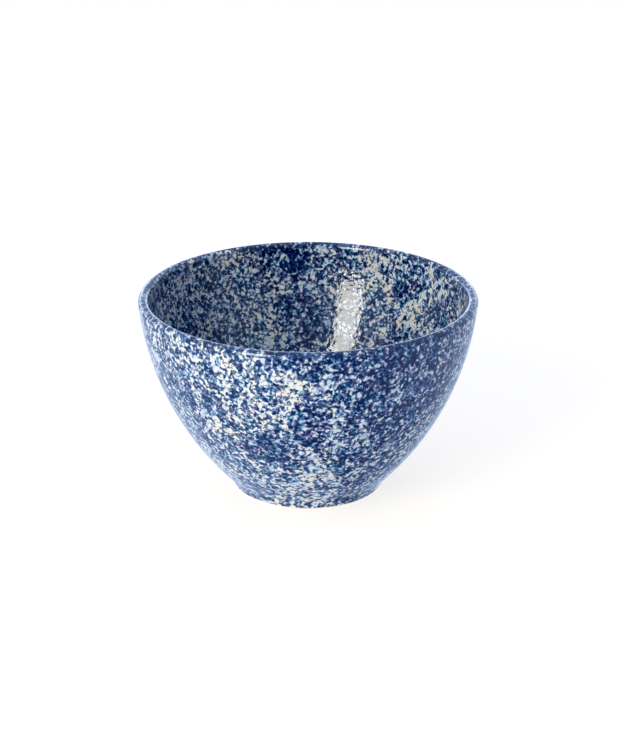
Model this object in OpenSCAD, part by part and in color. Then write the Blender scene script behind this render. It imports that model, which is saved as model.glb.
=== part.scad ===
// Cereal bowl: a round-lipped clay bowl on a turned foot, sponged with colour and glazed.
// The axis is Z, the table is at z = 0, and all sizes are in millimetres.
// Every outline is a half section to the right of the axis, drawn as [radius, height] points.

/* [Bowl] */
// Diameter over the rim
rim_d = 150; // [130:1:190]
// Height from the table to the crest of the lip
bowl_h = 90; // [76:1:110]
// Thickness of the finished wall at the lip, which is fully rounded
wall_t = 4.8; // [3.6:0.1:7]
// Thickness that the finished wall grows to at the foot's cove, before the well is rounded in
low_wall_t = 10; // [5:0.1:12]
// Radius of the wall's outward curve, seen in section
wall_r = 134.5; // [115:0.5:300]
// Thickness of the finished floor
floor_t = 6.5; // [5:0.1:12]
// Radius of the turn from the inside wall to the floor
well_r = 26; // [12:1:32]

/* [Foot] */
// Diameter of the foot
foot_d = 68.4; // [56:0.2:84]
// Height of the foot's upright side
foot_h = 1.3; // [1.1:0.1:4]
// Radius of the cove between the foot and the wall
cove_r = 4; // [1:0.1:8]
// Width of the ring that the bowl stands on
ring_w = 6; // [4:0.1:12]
// Depth of the hollow inside the ring
hollow_h = 3; // [1.5:0.1:6]
// Chamfer on both standing edges of the ring
ring_edge = 0.6; // [0.2:0.1:0.8]
// Height of the bare clay between the table and the coats
bare_h = 0.9; // [0.7:0.1:1.2]

/* [Coats] */
// Thickness of the sponged colour on the clay
colour_t = 0.2; // [0.15:0.05:0.4]
// Thickness of the clear glaze over the colour, and under the base
glaze_t = 0.4; // [0.3:0.05:0.8]
// Bare margin between the glaze under the base and the ring
base_margin = 1.2; // [0.5:0.1:4]

/* [Hidden] */
$fn = 180;

// Steps along each arc of an outline
lip_steps = 12;
wall_steps = 40;
cove_steps = 6;
well_steps = 18;
// How far a cutting outline runs past what it cuts
past = 1;

rim_r = rim_d / 2;
lip_r = wall_t / 2;
foot_r = foot_d / 2;
ring_in_r = foot_r - ring_w;
floor_z = hollow_h + floor_t;
coats_t = colour_t + glaze_t;

// The lip and the cove are circles that the wall's arc runs into smoothly, so its centre lies
// wall_r - lip_r from the lip's centre and wall_r + cove_r from the cove's.
lip_c = [rim_r - lip_r, bowl_h - lip_r];
cove_c = [foot_r + cove_r, foot_h];
wall_c = circles_meet(lip_c, wall_r - lip_r, cove_c, wall_r + cove_r);

// Directions from the wall's centre in which its arc starts at the lip and ends at the cove
lip_a = bearing(wall_c, lip_c);
cove_a = bearing(wall_c, cove_c);

// The inside wall runs on from the lip too. Its centre is shifted towards the lip, just so far that
// the wall has its two thicknesses at the arc's two ends.
lip_in = wall_r - wall_t;
cove_in = wall_r - low_wall_t;
shift = (lip_in * lip_in - cove_in * cove_in) / (2 * (lip_in - cove_in * cos(lip_a - cove_a)));
inside_c = wall_c + shift * [cos(lip_a), sin(lip_a)];
inside_r = lip_in - shift;

// The well is a circle inside the inside wall's, and it touches the floor.
well_z = floor_z + well_r;
well_c = [inside_c.x + sqrt(pow(inside_r - well_r, 2) - pow(well_z - inside_c.y, 2)), well_z];
well_a = bearing(inside_c, well_c);

// Angle of the direction from one point to another
function bearing(from, to) = atan2(to.y - from.y, to.x - from.x);

// The point on the left of the line from p to q that lies rp from p and rq from q
function circles_meet(p, rp, q, rq) =
    let (span = norm(q - p),
         along = (rp * rp - rq * rq + span * span) / (2 * span),
         aside = sqrt(rp * rp - along * along),
         u = (q - p) / span)
    p + along * u + aside * [u.y, -u.x];

// Points along an arc without its first one, which the outline already has
function arc(centre, r, from, to, steps) =
    [for (i = [1:steps]) let (a = from + (to - from) * i / steps) centre + r * [cos(a), sin(a)]];

function reversed(points) = [for (i = [len(points) - 1:-1:0]) points[i]];
function without_first(points) = [for (i = [1:len(points) - 1]) points[i]];

// Crest of the lip, at a depth under the finished surface
function crest(depth) = [lip_c.x, bowl_h - depth];

// Outside of the bowl from the crest down to the height end_z, at a depth under the finished surface
function outside_line(depth, end_z) = concat(
    [crest(depth)],
    arc(lip_c, lip_r - depth, 90, lip_a, lip_steps),
    arc(wall_c, wall_r - depth, lip_a, cove_a, wall_steps),
    arc(cove_c, cove_r + depth, cove_a + 180, 180, cove_steps),
    [[foot_r - depth, end_z]]);

// Inside of the bowl from the crest down to the middle of the floor, at a depth under the surface
function inside_line(depth) = concat(
    [crest(depth)],
    arc(lip_c, lip_r - depth, 90, lip_a + 180, lip_steps),
    arc(inside_c, inside_r + depth, lip_a, well_a, wall_steps),
    arc(well_c, well_r + depth, well_a, -90, well_steps),
    [[0, floor_z - depth]]);

// Section of all the clay, with the foot still solid
module clay_section() {
    foot_corner = foot_r - coats_t;
    polygon(concat(
        reversed(inside_line(coats_t)),
        without_first(outside_line(coats_t, ring_edge)),
        [[foot_corner - ring_edge, 0], [0, 0]]));
}

// Section of the hollow that the turning tool leaves inside the ring
module hollow_section() {
    polygon([
        [0, -past],
        [ring_in_r + ring_edge + past, -past],
        [ring_in_r, ring_edge],
        [ring_in_r, hollow_h + past],
        [0, hollow_h + past]]);
}

// Section of a coat on the outside, between two depths under the finished surface
module outside_coat(top, bottom) {
    polygon(concat(outside_line(top, bare_h), reversed(outside_line(bottom, bare_h))));
}

// Section of a coat on the inside, between two depths under the finished surface
module inside_coat(top, bottom) {
    polygon(concat(inside_line(top), reversed(inside_line(bottom))));
}

// Wall, lip and floor, all one piece of fired clay
module clay_body() {
    color("antiquewhite")
        rotate_extrude()
            intersection() {
                clay_section();
                translate([0, hollow_h]) square([rim_r, bowl_h]);
            }
}

// Ring of bare clay that the bowl stands on
module foot_ring() {
    color("bisque")
        rotate_extrude()
            difference() {
                intersection() {
                    clay_section();
                    square([rim_r, hollow_h]);
                }
                hollow_section();
            }
}

// Blue sponged on the outside, from the crest of the lip to the foot
module outside_colour() {
    color("steelblue") rotate_extrude() outside_coat(glaze_t, coats_t);
}

// Blue sponged on the inside, from the crest of the lip to the middle of the floor
module inside_colour() {
    color("steelblue") rotate_extrude() inside_coat(glaze_t, coats_t);
}

// Clear glaze dipped over the outside colour
module outside_glaze() {
    color("lightsteelblue", 0.4) rotate_extrude() outside_coat(0, glaze_t);
}

// Clear glaze poured over the inside colour
module inside_glaze() {
    color("lightsteelblue", 0.4) rotate_extrude() inside_coat(0, glaze_t);
}

// Clear glaze on the clay under the base, clear of the ring
module base_glaze() {
    color("ivory", 0.6)
        translate([0, 0, hollow_h - glaze_t])
            cylinder(r = ring_in_r - base_margin, h = glaze_t);
}

clay_body();
foot_ring();
outside_colour();
inside_colour();
outside_glaze();
inside_glaze();
base_glaze();
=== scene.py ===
"""Looks of the cereal bowl: blue sponged on pale clay under a clear glaze, in a white studio."""

import math

import bmesh
import bpy
import numpy as np
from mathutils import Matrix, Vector, noise


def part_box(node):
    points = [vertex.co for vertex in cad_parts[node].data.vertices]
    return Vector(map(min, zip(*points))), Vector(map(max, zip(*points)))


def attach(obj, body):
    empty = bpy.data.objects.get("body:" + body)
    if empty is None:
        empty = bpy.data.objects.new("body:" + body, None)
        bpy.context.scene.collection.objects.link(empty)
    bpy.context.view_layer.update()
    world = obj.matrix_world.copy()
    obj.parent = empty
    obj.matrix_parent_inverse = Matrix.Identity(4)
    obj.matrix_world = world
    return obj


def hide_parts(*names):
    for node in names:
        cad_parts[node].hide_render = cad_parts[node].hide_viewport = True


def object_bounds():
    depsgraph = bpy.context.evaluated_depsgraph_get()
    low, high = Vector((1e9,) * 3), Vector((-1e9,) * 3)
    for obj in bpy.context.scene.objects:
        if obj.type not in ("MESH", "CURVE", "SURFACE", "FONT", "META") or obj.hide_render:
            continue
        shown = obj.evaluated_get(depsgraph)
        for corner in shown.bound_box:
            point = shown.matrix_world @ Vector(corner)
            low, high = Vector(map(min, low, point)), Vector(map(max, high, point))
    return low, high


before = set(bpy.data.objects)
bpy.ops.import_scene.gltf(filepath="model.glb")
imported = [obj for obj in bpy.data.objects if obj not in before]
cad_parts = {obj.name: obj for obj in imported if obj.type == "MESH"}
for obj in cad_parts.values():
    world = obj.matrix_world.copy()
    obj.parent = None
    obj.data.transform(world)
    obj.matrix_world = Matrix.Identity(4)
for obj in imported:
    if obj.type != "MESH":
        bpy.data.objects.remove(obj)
cad_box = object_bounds()
scene = bpy.context.scene

MM = 0.001
TURN = 2 * math.pi

# The rim's radius and the crest's height, both over the glaze, and how thick colour and glaze are
RIM_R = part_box("outside_glaze")[1].x
RIM_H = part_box("outside_glaze")[1].z
COATS = RIM_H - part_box("clay_body")[1].z

# Where the photo was taken from. The bowl's middle lies at MIDDLE_PX in the photo's frame.
PHOTO_W, PHOTO_H = 619, 750
MIDDLE_PX = (308.2, 386.9)
PX_PER_MM = 2.225
MIDDLE = Vector((0, 0, RIM_H / 2))
CAMERA_DISTANCE = 0.9
CAMERA_ELEVATION = math.radians(22.05)
SENSOR = 36.0
CLIP_NEAR, CLIP_FAR = 0.01, 100

# Mesh of the coats: columns round the axis, and steps between the rows of the face and of the back
COLUMNS = 560
QUARTER = COLUMNS // 4
ROW_STEP = 1.25 * MM
BACK_ROW_STEP = 9 * MM
# A flat's last ring is this many times smaller than the flat, and a fan of faces closes it
LAST_RING = 40
# A back that starts within this share of the rim's radius is closed in the middle
NEAR_AXIS = 0.02
# What is left between a coat's back and the clay, and the distance that counts as touching
CLAY_GAP = 0.01 * MM
TOUCH = 0.002 * MM
# Map of a coat: margin round each quarter turn, and the strip for hidden faces and how full it gets
UV_MARGIN = 0.004
UV_BACK = 0.024
UV_BACK_FILL = 0.9

# Unevenness of a hand-made bowl, always inward from the true round. A lobe is a count of swings
# in one turn, how far they go and their phase.
OUT_OF_ROUND = 0.2 * MM
OUT_OF_ROUND_LOBES = ((2, -0.35, -0.7), (3, -0.15, 1.1))
RIM_DIP = 0.5 * MM
RIM_DIP_LOBES = ((1, 0.42, 1.4), (4, 0.08, 0.5))
# Out-of-round fades towards the axis inside this radius
FADE_R = RIM_R / 4
# Waves of the surface: the most that they move it, their length and the seed of their noise
WALL_WAVE = {"most": 0.06 * MM, "size": 24 * MM, "seed": 3.1}
GLAZE_WAVE = {"most": 0.052 * MM, "size": 3.2 * MM, "seed": 7.7}
END_WAVE = {"most": 0.35 * MM, "size": 6 * MM, "seed": 5.2}
POOL_EDGE_WAVE = {"most": 0.8 * MM, "size": 6 * MM, "seed": 8.3}
POOL_FACE_WAVE = {"most": 0.06 * MM, "size": 3.2 * MM, "seed": 4.4}
# Where the glaze stops above the table: the radius of its end and the steps round it, and how far up
# its wave is felt
END_ROUND = 0.3 * MM
END_STEPS = 4
END_REACH = 0.9 * MM
# A slight hollow round the inside below the lip: its lower edge, its deepest line and its top
HOLLOW = 0.25 * MM
HOLLOW_FROM = RIM_H - 30 * MM
HOLLOW_AT = RIM_H - 10 * MM
HOLLOW_TO = RIM_H - 2 * MM

# Colours as linear red, green and blue
GROUND = (0.513, 0.53, 0.538)
GROUND_WARM = (0.566, 0.518, 0.435)
BASE_GLAZE = (0.61, 0.56, 0.46)
BASE_GLAZE_DARK = (0.53, 0.47, 0.37)
CLAY = (0.70, 0.62, 0.53)
CLAY_DARK = (0.58, 0.49, 0.40)

# What one measure of paint takes from red, green and blue light, where it is violet and where teal
VIOLET_TAKES = (2.1, 1.87, 1.18)
TEAL_TAKES = (2.48, 1.71, 1.09)
# How much paint there is, and the levels of the pattern at which it starts and is full
PAINT_LEAST = 0.03
PAINT_MOST = {"outside": 1.86, "inside": 2.04}
PAINT_STARTS = {"outside": 0.375, "inside": 0.383}
PAINT_FULL = 0.652

# Noises of glaze and clay: the size of their blobs in millimetres, a seed and what else they need
PATCH = {"size": 13.0, "seed": 1.3}
CLUSTER = {"size": 4.2, "seed": 5.9, "detail": 0.0}
SPECK = {"size": 1.55, "seed": 4.2, "distortion": 0.6}
BARE_SPOT = {"size": 3.2, "seed": 8.8, "distortion": 0.4}
PAINT_HUE = {"size": 4.0, "seed": 9.4}
GROUND_HUE = {"size": 4.5, "seed": 2.9}
DAB_EDGE = {"size": 6.0, "seed": 3.7, "detail": 2.0, "output": "Color"}
GLAZE_RIPPLE = {"size": 1.7, "seed": 6.1}
CLAY_GRAIN = {"size": 0.5, "seed": 1.1, "detail": 3.0}
CLAY_STAIN = {"size": 7.0, "seed": 5.5, "detail": 2.0}
BASE_STAIN = {"size": 6.0, "seed": 3.3, "detail": 2.0}
BASE_RIPPLE = {"size": 2.5, "seed": 6.6}
NOISE_MIDDLE = 0.5

# Shares of patches and clusters in the pattern, beside the specks
PATCH_SHARE = 0.13
CLUSTER_SHARE = 0.19
# Bare spots are rarer where a patch or a dab has more paint, and they clear most of it
BARE_BY_PATCH = -0.3
BARE_BY_DAB = -1.2
BARE_RANGE = (0.60, 0.68)
BARE_CLEARS = 0.85
# The paint's hue goes from violet to teal over this range of its noise
HUE_RANGE = (0.35, 0.65)
# The ground is warm where the paint is thin, which specks and a noise of its own make uneven
THIN_BY_SPECK = 0.3
THIN_BY_HUE = 0.3
WARM_RANGE = (0.20, 0.32)

# Where the sponge left more or less paint: a point in millimetres, the dab's reach and how much. A few
# dabs are set by the light instead, as marked below.
DABS = (
    ((46, -56, 70), 38, 0.042),
    ((34, -65, 86), 11, 0.05),
    ((20, -69, 69), 8, 0.03),
    ((18, -72, 85), 9, 0.035),
    ((6, -74, 86), 10, 0.05),
    ((28, -59, 48), 8, 0.03),
    ((53, -45, 60), 10, -0.02),
    ((-10, -74, 85), 9, 0.03),
    ((23, -54, 34), 12, 0.02),
    ((20, -41, 17), 9, 0.03),
    ((0, -69, 59), 10, 0.045),
    ((-4, -64, 47), 9, 0.04),
    ((14, -60, 42), 9, 0.02),
    ((-17, -59, 40), 13, 0.04),
    ((-56, -44, 67), 16, 0.035),
    ((-30, -66, 69), 17, -0.04),
    ((-57, -47, 81), 14, -0.03),
    ((-22, -69, 68), 9, -0.02),
    ((-4, -73, 75), 12, -0.05),
    ((-8, -71, 68), 9, -0.03),
    ((-36, -54, 47), 10, -0.04),
    ((12, -55, 31), 7, -0.03),
    ((2, -51, 24), 11, -0.05),
    # Less paint at the front of the foot: painted light that lifts the shade near the table
    ((0, -38, 2), 24, -0.03),
    ((-45, 51, 74), 14, 0.02),
    ((-22, 66, 80), 8, -0.02),
    ((-5, 70, 81), 10, 0.06),
    ((4, 67, 72), 9, -0.03),
    ((-8, 69, 74), 8, 0.03),
    ((-21, 64, 64), 9, 0.03),
    ((-3, 62, 56), 18, 0.038),
    ((36, 60, 79), 15, -0.05),
    ((41, 54, 74), 8, 0.03),
    ((52, 45, 66), 9, -0.03),
    ((48, 46, 57), 14, -0.03),
    ((62, 30, 72), 8, 0.03),
    # Paint set darker where the key light's reflection falls inside the bowl, so that this highlight
    # looks solid
    ((19, 65, 68), 8, 0.05),
    ((17, 60, 57), 8, 0.05),
    ((15, 54, 46), 8, 0.05),
)
# A dab's edge wanders this many millimetres, and its full amount fills this share of its reach
DAB_RAGGED = 6.0
DAB_SOLID = 0.4
# Thin paint that a dab leaves over all, as a multiple of its amount
DAB_WASH = 1.5

# The lip has more paint and less ripple. Its band, and where the ripple starts to calm down, are
# millimetres below the crest.
LIP_BAND = 3.2
CALM_FROM = 7.0
LIP_PAINT = 0.05
LIP_RIPPLE = {"outside": 0.9, "inside": 0.4}

# Surfaces: height of the fine relief, roughness, and the glaze's index of refraction
GLAZE_RELIEF = 0.12 * MM
GLAZE_ROUGHNESS = 0.07
GLAZE_IOR = 1.5
BASE_RELIEF = 0.04 * MM
BASE_ROUGHNESS = 0.12
BASE_STAIN_RANGE = (0.35, 0.7)
CLAY_RELIEF = 0.06 * MM
CLAY_ROUGHNESS = 0.82
# The clay's tone is stain and grain. Its turning rings are a wave of so many radians a millimetre.
STAIN_SHARE = 0.6
GRAIN_SHARE = 0.4
CLAY_TONE_RANGE = (0.35, 0.65)
RING_WAVE = 9.0
RING_SHARE = 0.12

# Stage: the floor's own colour and glow, and the glow of the card that lies just under it
SHEET_SIZE = 30
CARD_DROP = 0.2 * MM
FLOOR = (0.235, 0.21, 0.18)
FLOOR_GLOW = (0.78, 0.775, 0.77)
CARD_GLOW = (1.46, 1.54, 1.72)
BLACK = (0, 0, 0)

# Light of the room: dim in front on the right, bright behind on the left, weaker below the horizon
ROOM_TINT = (0.81, 0.95, 1.205)
ROOM_DIM = 0.2
ROOM_BRIGHT = 1.15
ROOM_TOWARDS = (-0.7, 0.6, 0.4)
ROOM_RANGE = (-0.9, 0.5)
ROOM_BELOW = 0.8
BELOW_RANGE = (-0.2, 0.05)
# A bright band low behind on the left: its strength, width, top and foot
BAND_BRIGHT = 1.9
BAND_TOWARDS = (-0.5, 0.87, 0)
BAND_WIDTH = (0.3, 0.95)
BAND_TOP = (0.12, 0.36)
BAND_FOOT = (-0.06, 0.02)
# A bright side on the right
RIGHT_BRIGHT = 0.68
RIGHT_RANGE = (0.3, 0.9)
TO_THE_RIGHT = (1, 0, 0)
UPWARDS = (0, 0, 1)

# The key light, a tall softbox on the left in front
KEY_TINT = (1.0, 0.97, 0.837)
KEY_POWER = 11.0
KEY_WIDTH, KEY_HEIGHT = 0.345, 0.74
KEY_DISTANCE = 1.0
KEY_AZIMUTH = math.radians(-34.8)
KEY_ELEVATION = math.radians(23.5)
KEY_TILT = math.radians(4)

# Display, set to the photo's dark end
GAMMA = 0.89
BLACK_LEVEL = 0.0145


# Shapes

def finished_line(node):
    """The finished face of a coat as (radius, height) points, from the lip's crest to its far end.

    The coat is a body of revolution, so one row of its mesh's edges lies in the XZ plane. The walk
    follows that row from the highest point, away from the seam on the crest."""
    mesh = bmesh.new()
    mesh.from_mesh(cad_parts[node].data)
    bmesh.ops.remove_doubles(mesh, verts=mesh.verts, dist=TOUCH)
    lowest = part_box(node)[0].z

    def on_seam(vertex):
        return abs(vertex.co.y) < TOUCH and vertex.co.x > TOUCH

    def neighbours(vertex):
        return [e.other_vert(vertex) for e in vertex.link_edges if on_seam(e.other_vert(vertex))]

    crest = max((v for v in mesh.verts if on_seam(v)), key=lambda v: v.co.z)
    walk = [crest]
    ahead = [v for v in neighbours(crest) if abs(v.co.x - crest.co.x) > TOUCH]
    while ahead and walk[-1].co.z > lowest + TOUCH:
        walk.append(ahead[0])
        ahead = [v for v in neighbours(walk[-1]) if v not in walk]
    line = [(v.co.x, v.co.z) for v in walk]
    mesh.free()
    return line


def stepped(line, step):
    """The same line with points added so that no step is longer than step."""
    points = [line[0]]
    for start, end in zip(line, line[1:]):
        count = max(1, math.ceil(math.dist(start, end) / step))
        points += list(np.linspace(start, end, count + 1)[1:])
    return np.array(points)


def thinned(rows, step):
    """Rows without those that follow the last kept one by less than step. Both ends stay."""
    kept = [rows[0]]
    for row in rows[1:-1]:
        if math.dist(row, kept[-1]) >= step:
            kept.append(row)
    return np.array(kept + [rows[-1]])


def rounded_end(rows, radius):
    """Rows whose lower end is turned in by a quarter circle, as glaze is where it stops."""
    end_r, end_z = rows[0]
    turns = np.linspace(0, TURN / 4, END_STEPS + 1)
    quarter_r = end_r - radius * (1 - np.sin(turns))
    quarter_z = end_z + radius * (1 - np.cos(turns))
    rest = rows[rows[:, 1] > end_z + radius + TOUCH]
    return np.concatenate([np.stack([quarter_r, quarter_z], axis=1), rest])


def revolved(rows, way=1):
    """A grid of points: each (radius, height) row turned about the axis, one way or the other."""
    angles = way * np.arange(COLUMNS) * TURN / COLUMNS
    points = np.empty((len(rows), COLUMNS, 3))
    points[..., 0] = rows[:, :1] * np.cos(angles)
    points[..., 1] = rows[:, :1] * np.sin(angles)
    points[..., 2] = rows[:, 1:]
    return points


def normals_of(points):
    """Unit normals of a grid of points whose columns run round the axis."""
    along = np.gradient(points, axis=0)
    around = np.roll(points, -1, axis=1) - np.roll(points, 1, axis=1)
    cross = np.cross(around, along)
    return cross / np.linalg.norm(cross, axis=-1, keepdims=True)


def waves(points, most, size, seed):
    """Smooth noise from 0 to most at each point, with waves about size long."""
    values = [0.5 + 0.5 * noise.noise(Vector(p)) for p in points.reshape(-1, 3) / size + seed]
    return most * np.clip(values, 0, 1).reshape(points.shape[:-1])


def lobed(angle, lobes):
    """A share round 0.5 that swings with the angle round the axis."""
    return 0.5 + sum(swing * np.cos(count * angle + phase) for count, swing, phase in lobes)


def eased(values, low, high):
    """Goes smoothly from 0 to 1 while values go from low to high."""
    share = np.clip((values - low) / (high - low), 0, 1)
    return share * share * (3 - 2 * share)


def uneven(points, crest):
    """Points of the finished face, moved inward as a potter's hands and the glaze leave them.

    Rows up to crest are outside the bowl, and those after it inside."""
    moved = points.copy()
    height = points[..., 2]
    angle = np.arctan2(points[..., 1], points[..., 0])
    rise = np.clip(height / RIM_H, 0, 1) ** 2
    radius = np.maximum(np.hypot(points[..., 0], points[..., 1]), FADE_R)
    squeeze = OUT_OF_ROUND * lobed(angle, OUT_OF_ROUND_LOBES) * rise / radius
    moved[..., :2] *= 1 - squeeze[..., None]
    moved[..., 2] -= RIM_DIP * lobed(angle, RIM_DIP_LOBES) * rise

    near_end = np.clip(1 - (height - height[0, 0]) / END_REACH, 0, 1)
    near_end[crest:] = 0
    moved[..., 2] += near_end * waves(points, **END_WAVE)

    depth = waves(points, **WALL_WAVE) + waves(points, **GLAZE_WAVE)
    hollow = eased(height, HOLLOW_FROM, HOLLOW_AT) * eased(height, HOLLOW_TO, HOLLOW_AT)
    depth[crest:] += HOLLOW * hollow[crest:]
    return moved - normals_of(moved) * depth[..., None]


def pooled(points):
    """Points of the glaze under the base, with its edge drawn in here and there and its face wavy."""
    moved = points.copy()
    height = points[..., 2]
    radius = np.hypot(points[..., 0], points[..., 1])
    pull = waves(points, **POOL_EDGE_WAVE) * radius / radius.max() ** 2
    moved[..., :2] *= 1 - pull[..., None]
    below = (height.max() - height) / np.ptp(height)
    moved[..., 2] += below * waves(points, **POOL_FACE_WAVE)
    return moved


def uv_cell(column, low, high, hidden):
    """Left, right, lower and upper bound of one face on the map, whose rows run from 0 to 1.

    The finished face is laid out in four quarter turns, two by two, over a strip for hidden faces."""
    if hidden:
        tall = UV_BACK * UV_BACK_FILL
        return column / COLUMNS, (column + 1) / COLUMNS, tall * low, tall * high
    quarter, step = divmod(column, QUARTER)
    half_tall = (1 - UV_BACK) / 2
    left = 0.5 * (quarter % 2) + UV_MARGIN
    base = UV_BACK + half_tall * (quarter // 2) + UV_MARGIN
    wide = (0.5 - 2 * UV_MARGIN) / QUARTER
    tall = half_tall - 2 * UV_MARGIN
    return left + wide * step, left + wide * (step + 1), base + tall * low, base + tall * high


def closed_rings(front, back):
    """All vertices of a coat, and the rings of vertex numbers on its front and on its back.

    If the back starts at the axis, both get one more ring, a single vertex in the middle."""
    grid = np.concatenate([front, back])
    vertices = grid.reshape(-1, 3).tolist()
    rings = [list(range(row * COLUMNS, (row + 1) * COLUMNS)) for row in range(len(grid))]
    front_rings, back_rings = rings[:len(front)], rings[len(front):]
    if np.hypot(*back[0, 0, :2]) < NEAR_AXIS * RIM_R:
        front_rings.append([len(vertices)])
        vertices.append(front[-1].mean(axis=0).tolist())
        back_rings.insert(0, [len(vertices)])
        vertices.append(back[0].mean(axis=0).tolist())
    return vertices, front_rings, back_rings


def shares_along(points):
    """How far along a line each of its points lies, from 0 to 1."""
    lengths = np.cumsum(np.linalg.norm(np.diff(points, axis=0), axis=1))
    return np.concatenate([[0], lengths / lengths[-1]])


def strip_faces(first, second, low, high, hidden):
    """Faces between two rings, with the places of their corners on the map."""
    faces, places = [], []
    for column in range(COLUMNS):
        beside = (column + 1) % COLUMNS
        left, right, lower, upper = uv_cell(column, low, high, hidden)
        half = (left + right) / 2
        if len(first) == 1:
            faces.append((first[0], second[beside], second[column]))
            places += [(half, lower), (right, upper), (left, upper)]
        elif len(second) == 1:
            faces.append((first[column], first[beside], second[0]))
            places += [(left, lower), (right, lower), (half, upper)]
        else:
            faces.append((first[column], first[beside], second[beside], second[column]))
            places += [(left, lower), (right, lower), (right, upper), (left, upper)]
    return faces, places


def coat(name, front, front_normals, back_rows, way=1):
    """A closed coat from the grid of its finished face and the (radius, height) rows of its back.

    The back goes on from the end of the front, and its last ring meets the front's first."""
    vertices, front_rings, back_rings = closed_rings(front, revolved(back_rows, way))
    heights = shares_along([vertices[ring[0]] for ring in front_rings])
    hidden_rings = [front_rings[-1], *back_rings, front_rings[0]]
    hidden_heights = np.linspace(0, 1, len(hidden_rings))

    faces, places, shown = [], [], []
    for rings, shares, hidden in ((front_rings, heights, False), (hidden_rings, hidden_heights, True)):
        for first, second, low, high in zip(rings, rings[1:], shares, shares[1:]):
            if len(first) == 1 and len(second) == 1:
                continue
            new_faces, new_places = strip_faces(first, second, low, high, hidden)
            faces += new_faces
            places += new_places
            shown += [not hidden] * len(new_faces)

    # The middle's normal lies along the axis, and a normal of zero is left to Blender
    given = dict(enumerate(front_normals.reshape(-1, 3).tolist()))
    normals = [given.get(corner, (0, 0, way)) if face_shown else (0, 0, 0)
               for face, face_shown in zip(faces, shown) for corner in face]

    mesh = bpy.data.meshes.new(name)
    mesh.from_pydata(vertices, [], faces)
    mesh.polygons.foreach_set("use_smooth", shown)
    mesh.uv_layers.new(name="OFBake").data.foreach_set("uv", np.array(places, dtype=np.float32).ravel())
    mesh.normals_split_custom_set(normals)
    piece = bpy.data.objects.new(name, mesh)
    scene.collection.objects.link(piece)
    return piece


# One line from the foot over the lip to the middle of the floor, and the same line on the clay
outside = finished_line("outside_glaze")
inside = finished_line("inside_glaze")
floor_r, floor_z = inside[-1]
inside.append((floor_r / LAST_RING, floor_z))
outside_rows = stepped(outside, ROW_STEP)[::-1]
inside_rows = stepped(inside, ROW_STEP)
true_rows = np.concatenate([outside_rows, inside_rows[1:]])
along = np.gradient(true_rows, axis=0)
along /= np.linalg.norm(along, axis=1, keepdims=True)
outward = np.stack([along[:, 1], -along[:, 0]], axis=1)
clay_rows = true_rows - (COATS - CLAY_GAP) * outward
outside_clay = clay_rows[:len(outside_rows)]
inside_clay = clay_rows[len(outside_rows) - 1:]

# Outside and inside coat, which meet on the lip's crest
finished_rows = rounded_end(true_rows, END_ROUND)
crest_row = len(finished_rows) - len(inside_rows)
finished = uneven(revolved(finished_rows), crest_row)
finished_normals = normals_of(finished)
outside_coat = coat(
    "outside_coat", finished[:crest_row + 1], finished_normals[:crest_row + 1],
    thinned(outside_clay, BACK_ROW_STEP)[::-1])
inside_coat = coat(
    "inside_coat", finished[crest_row:], finished_normals[crest_row:],
    thinned(inside_clay, BACK_ROW_STEP)[::-1])

# Glaze under the base, from the clay round its edge to the middle
pool_low, pool_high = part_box("base_glaze")
pool_r = pool_high.x
pool_t = pool_high.z - pool_low.z
pool_side = np.array([(pool_r, pool_low.z), (pool_r, pool_high.z)])
pool_face = [(pool_r - pool_t, pool_low.z), (pool_r / LAST_RING, pool_low.z)]
pool_rows = np.concatenate([rounded_end(pool_side, pool_t)[::-1], stepped(pool_face, ROW_STEP)[1:]])
pool_back = np.array([(pool_r / LAST_RING, pool_high.z), (pool_r - pool_t, pool_high.z)])
pool = pooled(revolved(pool_rows, -1))
base_coat = coat("base_coat", pool, normals_of(pool), pool_back, -1)

for piece, nodes, slot in ((outside_coat, ("outside_glaze", "outside_colour"), "glaze_over_blue"),
                           (inside_coat, ("inside_glaze", "inside_colour"), "glaze_over_blue"),
                           (base_coat, ("base_glaze",), "glaze_over_clay")):
    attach(piece, "root")
    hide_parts(*nodes)


# Materials

# Sockets of a mix node that mixes colours
MIX_SHARE, MIX_FIRST, MIX_SECOND, MIX_RESULT = 0, 6, 7, 2


def new_material(name):
    """A new material, its node tree and its shader."""
    material = bpy.data.materials.new(name)
    material.use_nodes = True
    return material, material.node_tree, material.node_tree.nodes["Principled BSDF"]


def fill(tree, socket, value):
    """Sets an input to a value, or links it to another node's output."""
    if isinstance(value, bpy.types.NodeSocket):
        tree.links.new(value, socket)
    else:
        socket.default_value = value


def add(tree, kind, inputs, output=0, **settings):
    """A new node with its settings and inputs, each a value or another node's output."""
    made = tree.nodes.new(kind)
    for name, value in settings.items():
        setattr(made, name, value)
    for name, value in inputs.items():
        fill(tree, made.inputs[name], value)
    return made.outputs[output]


def calc(tree, operation, *values):
    """One step of arithmetic."""
    return add(tree, "ShaderNodeMath", dict(enumerate(values)), operation=operation)


def vector_calc(tree, operation, *values, output="Vector"):
    """One step of arithmetic with vectors."""
    return add(tree, "ShaderNodeVectorMath", dict(enumerate(values)), output, operation=operation)


def smooth_step(tree, value, low, high, start=0.0, end=1.0):
    """Goes smoothly from start to end while value goes from low to high."""
    inputs = {"Value": value, "From Min": low, "From Max": high, "To Min": start, "To Max": end}
    return add(tree, "ShaderNodeMapRange", inputs, interpolation_type="SMOOTHSTEP")


def place_mm(tree):
    """The point on the object in millimetres."""
    place = add(tree, "ShaderNodeTexCoord", {}, "Object")
    return add(tree, "ShaderNodeVectorMath", {0: place, "Scale": 1 / MM}, operation="SCALE")


def cloud(tree, place, size, seed, detail=1.0, distortion=0.0, output="Fac"):
    """Noise round NOISE_MIDDLE with blobs about size millimetres wide."""
    inputs = {"Vector": place, "W": seed, "Scale": 1 / size, "Detail": detail, "Distortion": distortion}
    return add(tree, "ShaderNodeTexNoise", inputs, output, noise_dimensions="4D")


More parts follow.
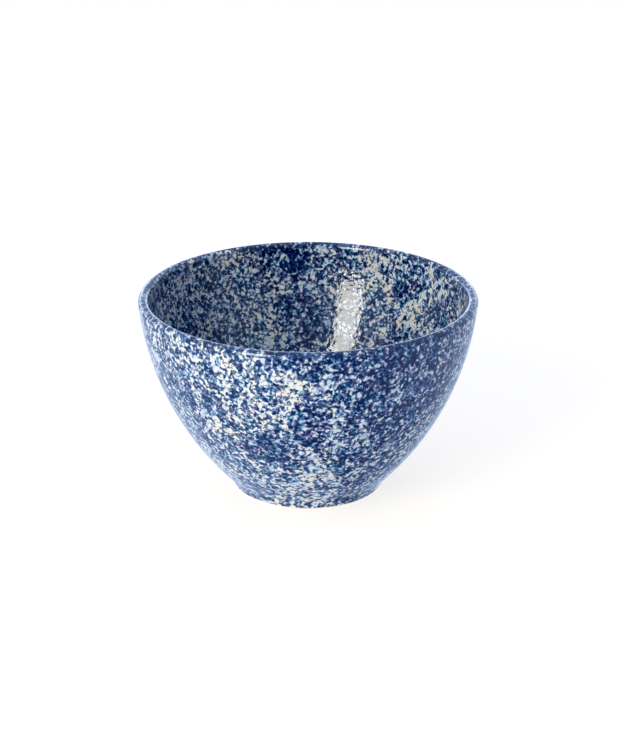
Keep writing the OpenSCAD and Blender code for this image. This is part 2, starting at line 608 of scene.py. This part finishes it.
def mixed(tree, share, first, second, blend="MIX"):
    """Two colours mixed. Each is linear red, green and blue, or another node's output."""
    made = tree.nodes.new("ShaderNodeMix")
    made.data_type = "RGBA"
    made.blend_type = blend
    fill(tree, made.inputs[MIX_SHARE], share)
    for socket, colour in ((MIX_FIRST, first), (MIX_SECOND, second)):
        fill(tree, made.inputs[socket], (*colour, 1) if isinstance(colour, tuple) else colour)
    return made.outputs[MIX_RESULT]


def relief(tree, shader, height, distance, strength=1.0):
    """Gives a shader a fine relief."""
    bump = add(tree, "ShaderNodeBump", {"Height": height, "Distance": distance, "Strength": strength})
    tree.links.new(bump, shader.inputs["Normal"])


def dabbed(tree, place):
    """How much more or less paint the dabs leave at a place, with ragged edges."""
    shift = vector_calc(tree, "SUBTRACT", cloud(tree, place, **DAB_EDGE), (NOISE_MIDDLE,) * 3)
    moved = vector_calc(tree, "MULTIPLY_ADD", shift, (DAB_RAGGED,) * 3, place)
    total = 0.0
    for middle, reach, amount in DABS:
        away = vector_calc(tree, "DISTANCE", moved, middle, output="Value")
        total = calc(tree, "ADD", smooth_step(tree, away, reach * DAB_SOLID, reach, amount, 0.0), total)
    return total


def sponged_glaze(side):
    """Blue dabbed on with a sponge, in patches of thick and thin paint, under a clear glaze."""
    material, tree, shader = new_material("sponged_glaze_" + side)
    place = place_mm(tree)
    height = add(tree, "ShaderNodeSeparateXYZ", {0: place}, "Z")
    crest = RIM_H / MM

    # The pattern: specks over clusters, patches and dabs, and more paint on the lip
    patch = calc(tree, "SUBTRACT", cloud(tree, place, **PATCH), NOISE_MIDDLE)
    cluster = calc(tree, "SUBTRACT", cloud(tree, place, **CLUSTER), NOISE_MIDDLE)
    speck = cloud(tree, place, **SPECK)
    dab = dabbed(tree, place)
    broad = calc(tree, "MULTIPLY_ADD", cluster, CLUSTER_SHARE, dab)
    broad = calc(tree, "MULTIPLY_ADD", patch, PATCH_SHARE, broad)
    lip = smooth_step(tree, height, crest - LIP_BAND, crest - LIP_BAND / 2, 0.0, LIP_PAINT)
    level = calc(tree, "ADD", calc(tree, "ADD", broad, speck), lip)

    # How much paint that is, less in bare spots and with a wash over the dabs
    inputs = {"Value": level, "From Min": PAINT_STARTS[side], "From Max": PAINT_FULL}
    paint = add(tree, "ShaderNodeMapRange", inputs)
    spot = calc(tree, "MULTIPLY_ADD", patch, BARE_BY_PATCH, cloud(tree, place, **BARE_SPOT))
    spot = calc(tree, "MULTIPLY_ADD", dab, BARE_BY_DAB, spot)
    bare = smooth_step(tree, spot, *BARE_RANGE)
    paint = calc(tree, "MULTIPLY", paint, calc(tree, "MULTIPLY_ADD", bare, -BARE_CLEARS, 1.0))
    wash = calc(tree, "MULTIPLY_ADD", calc(tree, "MAXIMUM", dab, 0.0), DAB_WASH, PAINT_LEAST)
    paint = calc(tree, "MULTIPLY_ADD", paint, PAINT_MOST[side], wash)

    # The light that the paint lets through to the ground
    hue = smooth_step(tree, cloud(tree, place, **PAINT_HUE), *HUE_RANGE)
    passes = []
    for violet, teal in zip(VIOLET_TAKES, TEAL_TAKES):
        take = calc(tree, "MULTIPLY_ADD", hue, violet - teal, -violet)
        passes.append(calc(tree, "EXPONENT", calc(tree, "MULTIPLY", paint, take)))
    through = add(tree, "ShaderNodeCombineColor", dict(enumerate(passes)))
    thin = calc(tree, "MULTIPLY_ADD", speck, THIN_BY_SPECK, broad)
    thin = calc(tree, "MULTIPLY_ADD", cloud(tree, place, **GROUND_HUE), THIN_BY_HUE, thin)
    warmth = smooth_step(tree, thin, *WARM_RANGE, 1.0, 0.0)
    ground = mixed(tree, warmth, GROUND, GROUND_WARM)
    tree.links.new(mixed(tree, 1.0, ground, through, "MULTIPLY"), shader.inputs["Base Color"])

    calm = smooth_step(tree, height, crest - CALM_FROM, crest - LIP_BAND, 1.0, LIP_RIPPLE[side])
    relief(tree, shader, cloud(tree, place, **GLAZE_RIPPLE), GLAZE_RELIEF, calm)
    shader.inputs["Roughness"].default_value = GLAZE_ROUGHNESS
    shader.inputs["IOR"].default_value = GLAZE_IOR
    return material


def bare_clay():
    """Fired clay without glaze: a fine grain, darker stains and the faint rings of turning."""
    material, tree, shader = new_material("bare_clay")
    place = place_mm(tree)
    grain = cloud(tree, place, **CLAY_GRAIN)
    stain = cloud(tree, place, **CLAY_STAIN)
    tone = calc(tree, "MULTIPLY_ADD", stain, STAIN_SHARE, calc(tree, "MULTIPLY", grain, GRAIN_SHARE))
    tone = smooth_step(tree, tone, *CLAY_TONE_RANGE)
    tree.links.new(mixed(tree, tone, CLAY, CLAY_DARK), shader.inputs["Base Color"])
    radius = vector_calc(tree, "LENGTH", vector_calc(tree, "MULTIPLY", place, (1, 1, 0)), output="Value")
    ring = calc(tree, "SINE", calc(tree, "MULTIPLY", radius, RING_WAVE))
    relief(tree, shader, calc(tree, "MULTIPLY_ADD", ring, RING_SHARE, grain), CLAY_RELIEF)
    shader.inputs["Roughness"].default_value = CLAY_ROUGHNESS
    return material


def clear_glaze_on_clay():
    """Clear glaze over the plain clay under the base."""
    material, tree, shader = new_material("clear_glaze_on_clay")
    place = place_mm(tree)
    stain = smooth_step(tree, cloud(tree, place, **BASE_STAIN), *BASE_STAIN_RANGE)
    tree.links.new(mixed(tree, stain, BASE_GLAZE, BASE_GLAZE_DARK), shader.inputs["Base Color"])
    relief(tree, shader, cloud(tree, place, **BASE_RIPPLE), BASE_RELIEF)
    shader.inputs["Roughness"].default_value = BASE_ROUGHNESS
    return material


def glowing(name, colour, glow):
    """A matt surface that also gives light, so that shadows on it stay faint."""
    material, _, shader = new_material(name)
    shader.inputs["Base Color"].default_value = (*colour, 1)
    shader.inputs["Emission Color"].default_value = (*glow, 1)
    shader.inputs["Emission Strength"].default_value = 1.0
    shader.inputs["Roughness"].default_value = 1.0
    shader.inputs["Specular IOR Level"].default_value = 0.0
    return material


def dress(piece, material):
    """Gives a piece one material in place of all it had."""
    piece.data.materials.clear()
    piece.data.materials.append(material)


clay = bare_clay()
dress(outside_coat, sponged_glaze("outside"))
dress(inside_coat, sponged_glaze("inside"))
dress(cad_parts["clay_body"], clay)
dress(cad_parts["foot_ring"], clay)
dress(base_coat, clear_glaze_on_clay())


# Studio

def level_sheet(name, height, material):
    """A wide level sheet of the stage, which the glaze doesn't mirror."""
    bpy.ops.mesh.primitive_plane_add(size=SHEET_SIZE, location=(0, 0, height))
    sheet = bpy.context.object
    sheet.name = name
    dress(sheet, material)
    sheet.visible_glossy = False
    return sheet


def room_glow(tree):
    """How bright the room is in each direction."""
    sky = add(tree, "ShaderNodeTexCoord", {}, "Generated")

    def facing(towards):
        return vector_calc(tree, "DOT_PRODUCT", sky, towards, output="Value")

    level = facing(UPWARDS)
    glow = smooth_step(tree, facing(ROOM_TOWARDS), *ROOM_RANGE, ROOM_DIM, ROOM_BRIGHT)
    glow = calc(tree, "MULTIPLY", glow, smooth_step(tree, level, *BELOW_RANGE, ROOM_BELOW, 1.0))
    band = smooth_step(tree, level, *BAND_TOP, BAND_BRIGHT, 0.0)
    band = calc(tree, "MULTIPLY", band, smooth_step(tree, facing(BAND_TOWARDS), *BAND_WIDTH))
    band = calc(tree, "MULTIPLY", band, smooth_step(tree, level, *BAND_FOOT))
    right = smooth_step(tree, facing(TO_THE_RIGHT), *RIGHT_RANGE, 0.0, RIGHT_BRIGHT)
    return calc(tree, "ADD", glow, calc(tree, "ADD", band, right))


def direction(azimuth, elevation):
    """The direction from the bowl to a point in front of it, to the right for a positive azimuth."""
    level = math.cos(elevation)
    return Vector((math.sin(azimuth) * level, -math.cos(azimuth) * level, math.sin(elevation)))


def aim(thing, target):
    """Turns a camera or light towards a point, with its top up."""
    thing.rotation_euler = (target - thing.location).to_track_quat("-Z", "Y").to_euler()


# The floor shows and takes the shadow, and a card just under it lights the bowl from below
floor = level_sheet("floor", cad_box[0].z, glowing("pale_floor", FLOOR, FLOOR_GLOW))
floor.visible_diffuse = False
floor.visible_shadow = False
card = level_sheet("card", cad_box[0].z - CARD_DROP, glowing("light_card", BLACK, CARD_GLOW))
card.visible_camera = False

world = bpy.data.worlds.new("studio")
scene.world = world
world.use_nodes = True
background = world.node_tree.nodes["Background"]
background.inputs["Color"].default_value = (*ROOM_TINT, 1)
world.node_tree.links.new(room_glow(world.node_tree), background.inputs["Strength"])

key = bpy.data.lights.new("key_softbox", "AREA")
key.shape = "RECTANGLE"
key.size = KEY_WIDTH
key.size_y = KEY_HEIGHT
key.energy = KEY_POWER
key.color = KEY_TINT
key_light = bpy.data.objects.new("key_softbox", key)
key_light.location = MIDDLE + direction(KEY_AZIMUTH, KEY_ELEVATION) * KEY_DISTANCE
aim(key_light, MIDDLE)
key_light.rotation_euler.rotate_axis("Z", KEY_TILT)
scene.collection.objects.link(key_light)

# The camera looks past the bowl's middle by as much as that lies off the middle of the photo
camera_data = bpy.data.cameras.new("camera")
camera_data.sensor_width = SENSOR
camera_data.lens = PX_PER_MM / MM * CAMERA_DISTANCE * SENSOR / PHOTO_H
camera_data.clip_start = CLIP_NEAR
camera_data.clip_end = CLIP_FAR
camera = bpy.data.objects.new("camera", camera_data)
camera.location = MIDDLE + direction(0, CAMERA_ELEVATION) * CAMERA_DISTANCE
up = Vector((0, math.sin(CAMERA_ELEVATION), math.cos(CAMERA_ELEVATION)))
aside = Vector((1, 0, 0)) * (PHOTO_W / 2 - MIDDLE_PX[0]) / PX_PER_MM * MM
above = up * (MIDDLE_PX[1] - PHOTO_H / 2) / PX_PER_MM * MM
aim(camera, MIDDLE + aside + above)
scene.collection.objects.link(camera)
scene.camera = camera

scene.view_settings.view_transform = "Standard"
scene.view_settings.gamma = GAMMA
scene.view_settings.use_curve_mapping = True
scene.view_settings.curve_mapping.black_level = (BLACK_LEVEL,) * 3
